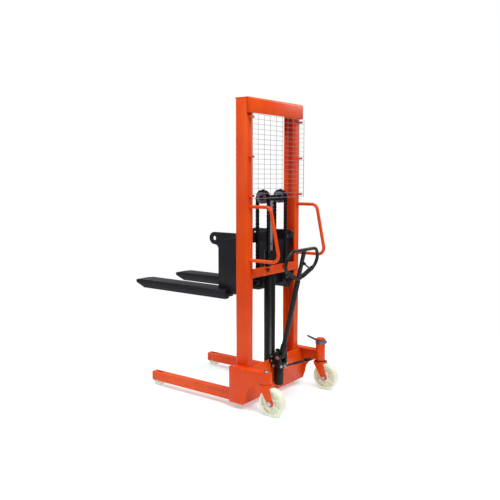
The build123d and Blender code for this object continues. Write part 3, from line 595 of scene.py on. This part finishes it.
def bent_beam():
    """Cap plate folded down at the rear with a wide bend, and a closing plate in each end."""
    low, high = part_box("mast_top_beam")
    top = high.z / MM
    foot = low.z / MM
    half = high.x / MM
    rear = 23
    inner = rear - PLATE_T
    under = top - PLATE_T
    corners = [
        (POST_FRONT, under, 1.5), (POST_FRONT, top, 1.5), (rear, top, 16),
        (rear, foot, 1.5), (inner, foot, 1.5), (inner, under, 10),
    ]
    plate = drawn_out(rounded(corners), -half, half, lambda u, v, w: at(w, u, v), 0.8)
    closing = rounded([(0, foot, 1), (inner + 0.5, foot, 1), (inner + 0.5, top - 4, 5), (0, top - 4, 1)])
    ends = []
    for side in (-1, 1):
        place = lambda u, v, w: at(side * w, u, v)
        ends.append(drawn_out(closing, half - PLATE_T - 0.5, half - 0.3, place, 0.8))
    mesh = finished(joined(plate, *ends), 40)
    add_piece("top_beam_finish", mesh, "frame_paint", "chassis", "mast_top_beam")


WIRE_R = 1.1
RIM_R = 1.4
GUARD_ROWS = 18
GUARD_COLUMNS = 9


def wire(radius, length, start, along, sides):
    """A straight round wire, length mm long from start."""
    return turned([(0, 0), (radius, 0), (radius, length), (0, length)], start, along, sides)


def guard_mesh():
    """Welded grid of thin round wires inside a rim of thicker wire."""
    low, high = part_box("mesh_guard")
    half = high.x / MM - 3
    z0 = low.z / MM + 3
    z1 = high.z / MM - 3
    height = z1 - z0
    middle = (z0 + z1) / 2
    y = 33.0
    level = finished(wire(WIRE_R, 2 * half, Vector((-half, 0, 0)) * MM, (1, 0, 0), 6), 80)
    upright = finished(wire(WIRE_R, height, Vector((-height / 2, 0, 0)) * MM, (1, 0, 0), 6), 80)
    up = [at(0, y, z0), at(0, y, z1)]
    across = [at(-half, y + 1.2, middle), at(half, y + 1.2, middle)]
    grid = joined_meshes(
        row_of(level, height / GUARD_ROWS, "guard_wire", up, angle=80),
        row_of(upright, 2 * half / GUARD_COLUMNS, "guard_wire", across, angle=80),
    )
    corners = [at(-half, y, z0), at(half, y, z0), at(half, y, z1), at(-half, y, z1)]
    rim = []
    for a, b in zip(corners, corners[1:] + corners[:1]):
        rim.append(wire(RIM_R, (b - a).length / MM, a, b - a, 8))
    mesh = finished(joined(grid, *rim), 80)
    add_piece("guard_grid", mesh, "guard_wire", "chassis", "mesh_guard")


def guard_fixings():
    """Stand-off strips with a bolt and washer that hold the guard."""
    low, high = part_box("guard_clips")
    z0 = low.z / MM + 9
    z1 = high.z / MM - 9
    section = rounded([(-7, 0, 2), (7, 0, 2), (7, 31, 2), (-7, 31, 2)], 3)
    head = [(0, 33), (7, 33), (7, 34.2), (4.4, 34.4), (4.2, 35), (0, 35)]
    strips = []
    bolts = []
    for side in (-1, 1):
        for z in (z0, (z0 + z1) / 2, z1):
            strips.append(drawn_out(section, 270, 290, lambda u, v, w: at(side * w, v, z + u), 0.8))
            bolts.append(turned(head, at(side * 280, 0, z), (0, 1, 0), 12))
    add_piece("guard_standoffs", finished(joined(*strips)), "frame_paint", "chassis", "guard_clips")
    add_piece("guard_bolts", finished(joined(*bolts)), "zinc_steel", "chassis")


drawn_channel(1, "mast_channel_left")
drawn_channel(-1, "mast_channel_right")
bent_beam()
guard_mesh()
guard_fixings()


# ---------------------------------------------------------------- chains
PITCH = 12.7
PLATE_X = 3
PIN_R = 3.4
PIN_HALF = 13
STRANDS = (-0.1, 0.1)


def link_plate(x, z0, z1):
    """One link plate, a waisted oval of 10 sides, as a solid."""
    r = 7.4
    waist = 5.8
    end = r * 0.85
    mid = (z0 + z1) / 2
    points = [
        (-r * 0.5, z0 - end), (r * 0.5, z0 - end), (r, z0), (waist, mid), (r, z1),
        (r * 0.5, z1 + end), (-r * 0.5, z1 + end), (-r, z1), (-waist, mid), (-r, z0),
    ]
    form = bmesh.new()
    faces = []
    for level in (x, x + PLATE_X):
        faces.append([form.verts.new(Vector((level, y, z)) * MM) for y, z in points])
    count = len(points)
    for i in range(count):
        k = (i + 1) % count
        form.faces.new((faces[0][i], faces[0][k], faces[1][k], faces[1][i]))
    form.faces.new(faces[0])
    form.faces.new(faces[1])
    return form


def link_pair():
    """Two pitches of leaf chain: laced plates and the pins through them."""
    half = PITCH / 2
    parts = [link_plate(x, -half, half) for x in (-12.5, -4.5, 3.5, 9.5)]
    parts += [link_plate(x, half, 3 * half) for x in (-8.5, -0.5, 6.5)]
    pin = [(0, -PIN_HALF), (PIN_R, -PIN_HALF), (PIN_R, PIN_HALF), (0, PIN_HALF)]
    for z in (-half, half):
        parts.append(turned(pin, Vector((0, 0, z)) * MM, (1, 0, 0), 6))
    return finished(joined(*parts), 30)


def chain_row(lines):
    """Leaf chain along lines of points."""
    return row_of(link_pair(), 2 * PITCH, "chain_steel", *lines)


def straight_strands(y, z0, z1):
    """A line of points up each strand."""
    return [[Vector((x, y, z0)), Vector((x, y, z1))] for x in STRANDS]


def leaf_chains():
    """Leaf chain links up the front and rear strands, left riding on nothing, and round the wraps, which ride on the
    ram.
    """
    front_low, front_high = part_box("chain_front")
    rear_low, rear_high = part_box("chain_rear")
    front_y = (front_low.y + front_high.y) / 2
    rear_y = (rear_low.y + rear_high.y) / 2
    top = front_high.z
    lap = PITCH * 1.3 * MM
    front = chain_row(straight_strands(front_y, front_low.z + lap, top - lap))
    rear = chain_row(straight_strands(rear_y, rear_low.z + lap, top - lap))
    centre = (front_y + rear_y) / 2
    radius = (rear_y - front_y) / 2
    steps = 24
    arcs = []
    for x in STRANDS:
        arc = []
        for k in range(steps + 1):
            t = math.pi * (1 - k / steps)
            arc.append(Vector((x, centre + radius * math.cos(t), top + radius * math.sin(t))))
        arcs.append(arc)
    wraps = chain_row(arcs)
    piece = loose_piece("chain_front_links", front, "chain_steel")
    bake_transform(piece)
    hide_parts("chain_front")
    piece = loose_piece("chain_rear_links", rear, "chain_steel")
    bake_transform(piece)
    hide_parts("chain_rear")
    add_piece("chain_wrap_links", wraps, "chain_steel", "ram", "chain_wraps")


leaf_chains()


# ---------------------------------------------------------------- casters, caps
def caps():
    """Domed orange cap over the brake neck, and a small grey nipple cap on the left tube."""
    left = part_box("caster_housing_left")
    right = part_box("caster_housing_right")
    x, y = (right[0].x + right[1].x) / 2, (right[0].y + right[1].y) / 2
    dome = [(0, 0), (30, 0), (31, 1), (31, 6), (29.5, 9), (26, 11), (18, 12.4), (0, 13)]
    form = turned(dome, (x, y, right[1].z), (0, 0, 1))
    add_piece("neck_cap", finished(form, 50), "frame_paint", BODY_OF["housing_caps"], "housing_caps")
    x, y = (left[0].x + left[1].x) / 2, (left[0].y + left[1].y) / 2
    nipple = [(0, 0), (16.4, 0), (17, 0.8), (17, 8.8), (15.8, 10), (11, 10), (11, 12.6), (9.8, 14), (0, 14)]
    form = turned(nipple, (x, y, left[1].z), (0, 0, 1))
    add_piece("tube_cap", finished(form, 40), "zinc_steel", BODY_OF["housing_caps"])


caps()


# ---------------------------------------------------------------- tiller
LEAN = math.radians(13.2)
PIVOT_Y = 62
PIVOT_Z = 284
LOOP_R = 11
# Across, up from the pivot, bend radius.
LOOP_CORNERS = [
    (-142, 756, 66), (-192, 700, 66), (-180, 630, 62), (0, 548, 52),
    (180, 630, 62), (192, 700, 66), (142, 756, 66),
]


def on_tiller(x, v, w):
    """A point drawn on the upright tiller, v behind it and w up from its pivot, then leant back."""
    y = PIVOT_Y + v * math.cos(LEAN) + w * math.sin(LEAN)
    z = PIVOT_Z - v * math.sin(LEAN) + w * math.cos(LEAN)
    return at(x, y, z)


def ribbed_grips():
    """Rubber sleeves with close rings on the lower sides of the loop."""
    section = [(11.2, -2.4), (14.2, -2.0), (15.0, -1.0), (15.0, 1.0), (14.2, 2.0), (11.2, 2.4)]
    ring = finished(turned(section, (0, 0, 0), (0, 0, 1), 20), 50)
    lines = []
    for side in (-1, 1):
        lines.append([on_tiller(side * 46, 0, 569), on_tiller(side * 148, 0, 615.6)])
    rings = row_of(ring, 5.2, "grip_rubber", *lines, angle=50)
    add_piece("grip_rings", rings, "grip_rubber", "tiller", "grips")


ribbed_grips()


def round_bar(points, radius, normal, sides=20):
    """A closed bent bar that lies in one plane."""
    form = bmesh.new()
    rings = []
    count = len(points)
    for i, point in enumerate(points):
        along = (points[(i + 1) % count] - points[i - 1]).normalized()
        out = along.cross(normal).normalized()
        ring = []
        for k in range(sides):
            t = 2 * math.pi * k / sides
            ring.append(form.verts.new(point + (out * math.cos(t) + normal * math.sin(t)) * radius * MM))
        rings.append(ring)
    for i in range(count):
        near, far = rings[i - 1], rings[i]
        for k in range(sides):
            n = (k + 1) % sides
            form.faces.new((near[k], near[n], far[n], far[k]))
    return form


def hand_loop():
    """The tiller's loop, bent from one bar with easy corners."""
    points = [on_tiller(u, 0, v) for u, v in rounded(LOOP_CORNERS, 9)]
    normal = (on_tiller(0, 1, 0) - on_tiller(0, 0, 0)).normalized()
    add_piece("loop_bar", finished(round_bar(points, LOOP_R, normal), 60), "pump_paint", "tiller", "tiller_loop")


hand_loop()


# ---------------------------------------------------------------- welds and small fixings
BEAD_R = 3.2
BEAD_HALF = 1.9
BEAD_STEP = 2.6


def bead():
    """One ripple of a weld bead, squashed along its run."""
    form = bmesh.new()
    bmesh.ops.create_icosphere(form, subdivisions=1, radius=1.0)
    for v in form.verts:
        v.co = Vector((v.co.x * BEAD_R, v.co.y * BEAD_R, v.co.z * BEAD_HALF)) * MM
    return finished(form, 80)


def welds(name, slot, body, *lines):
    """Weld beads along lines."""
    add_piece(name, row_of(bead(), BEAD_STEP, slot, *lines, change=0.25, angle=80), slot, body)


def ring_line(x, y, z, radius):
    """Points round a tube that stands out along Y."""
    points = []
    steps = 36
    for k in range(steps + 1):
        t = 2 * math.pi * k / steps
        points.append(at(x + radius * math.cos(t), y, z + radius * math.sin(t)))
    return points


HANDLE_X = 275
HANDLE_ENDS = (1302, 962)
BRACE_Z = (845, 902)
CROSS_PLATES = ((749, 817), (1055, 1123))


def all_welds():
    """Where brace, handles, beam, base and legs meet the posts, and the cross plates the carriage sides."""
    lines = []
    for s in (-1, 1):
        lines.append([at(s * 261, 1, z) for z in BRACE_Z])
        for z in HANDLE_ENDS:
            lines.append(ring_line(s * HANDLE_X, 0.5, z, 12))
        lines.append([at(s * 245, 0.5, 1886), at(s * 303, 0.5, 1886)])
        lines.append([at(s * 306.5, -92, 274), at(s * 306.5, -2, 274)])
        lines.append([at(s * 335, -96, 98), at(s * 280, -96, 98)])
    welds("mast_weld_beads", "frame_paint", "chassis", *lines)
    lines = []
    for s in (-1, 1):
        for plate in CROSS_PLATES:
            for z in plate:
                lines.append([at(s * 222, -101, z), at(s * 222, -89, z)])
        for low, high in CROSS_PLATES:
            lines.append([at(s * 222.5, -101, low + 2), at(s * 222.5, -101, high - 2)])
        lines.append([at(s * 236, -290, 748), at(s * 236, -206, 746)])
    welds("carriage_weld_beads", "lift_paint", "carriage", *lines)


all_welds()


PAD = (-240, 122, 222)
PAD_TURN = math.radians(-20)
TREAD_STEP = 4.6


def pedal_tread():
    """Raised bars across the foot pad."""
    section = rounded([(-20, -1.2, 0.5), (20, -1.2, 0.5), (20, 1.2, 0.5), (-20, 1.2, 0.5)], 2)
    side = Vector((math.cos(PAD_TURN), math.sin(PAD_TURN), 0))
    ahead = Vector((-math.sin(PAD_TURN), math.cos(PAD_TURN), 0))
    up = Vector((0, 0, 1))
    bars = []
    for k in range(-3, 4):
        middle = at(*PAD) + ahead * k * TREAD_STEP * MM
        bars.append(drawn_out(section, -1.5, 1.5, lambda u, v, w: middle + (side * u + up * v + ahead * w) * MM, 0.3))
    add_piece("pedal_tread_bars", finished(joined(*bars)), "grip_rubber", "pedal_body")


pedal_tread()


# ---------------------------------------------------------------- the other parts
def long_top(edge):
    """Edges that run front to back on top of a leg."""
    a, b = (v.co for v in edge.verts)
    return abs(a.y - b.y) > 0.2 and min(a.z, b.z) > 0.09 and abs(a.x) > 0.277


def outer_top(edge):
    """The long top edge on the outside of a base side."""
    a, b = (v.co for v in edge.verts)
    return min(a.z, b.z) > 0.27 and abs(a.x) > 0.36 and abs(b.x) > 0.36


softened("support_leg_left", 2.0, 2, None, (9, long_top))
softened("support_leg_right", 2.0, 2, None, (9, long_top))
softened("base_side_left", 1.2, 2, None, (10, outer_top))
softened("base_side_right", 1.2, 2, None, (10, outer_top))
softened("rear_chain_anchors", 1.0, 2, "chain_steel")
# How far paint, casting or machining takes down the outer corners of each other part.
EDGE_MM = {
    "mast_cross_brace": 1.5, "base_rear_plate": 1.0, "base_floor_plate": 1.0,
    "caster_housing_left": 1.2, "caster_housing_right": 1.2,
    "swivel_yoke_left": 1.5, "swivel_yoke_right": 1.5,
    "brake_lever": 1.5, "brake_disc_right": 1.0, "cylinder_barrel": 1.5, "gland_nut": 1.5,
    "crosshead": 2.0, "carriage_side_left": 1.5, "carriage_side_right": 1.5,
    "carriage_bars": 1.0, "carriage_front_bar": 1.5, "front_chain_anchors": 1.5,
    "fork_left": 2.5, "fork_right": 2.5, "pump_block": 2.5, "pump_tank": 2.0,
    "tiller_crank": 1.5, "release_lever": 1.0, "caster_wheel_left": 1.4, "caster_wheel_right": 1.4,
    "axle_bolt_left": 0.8, "axle_bolt_right": 0.8, "pump_fittings": 0.8,
}
for cad_node, width_mm in EDGE_MM.items():
    softened(cad_node, width_mm)
for cad_node, slot in SLOT_OF.items():
    mesh = frame["nodes"][cad_node].data
    mesh.materials.clear()
    mesh.materials.append(FINISH[slot])
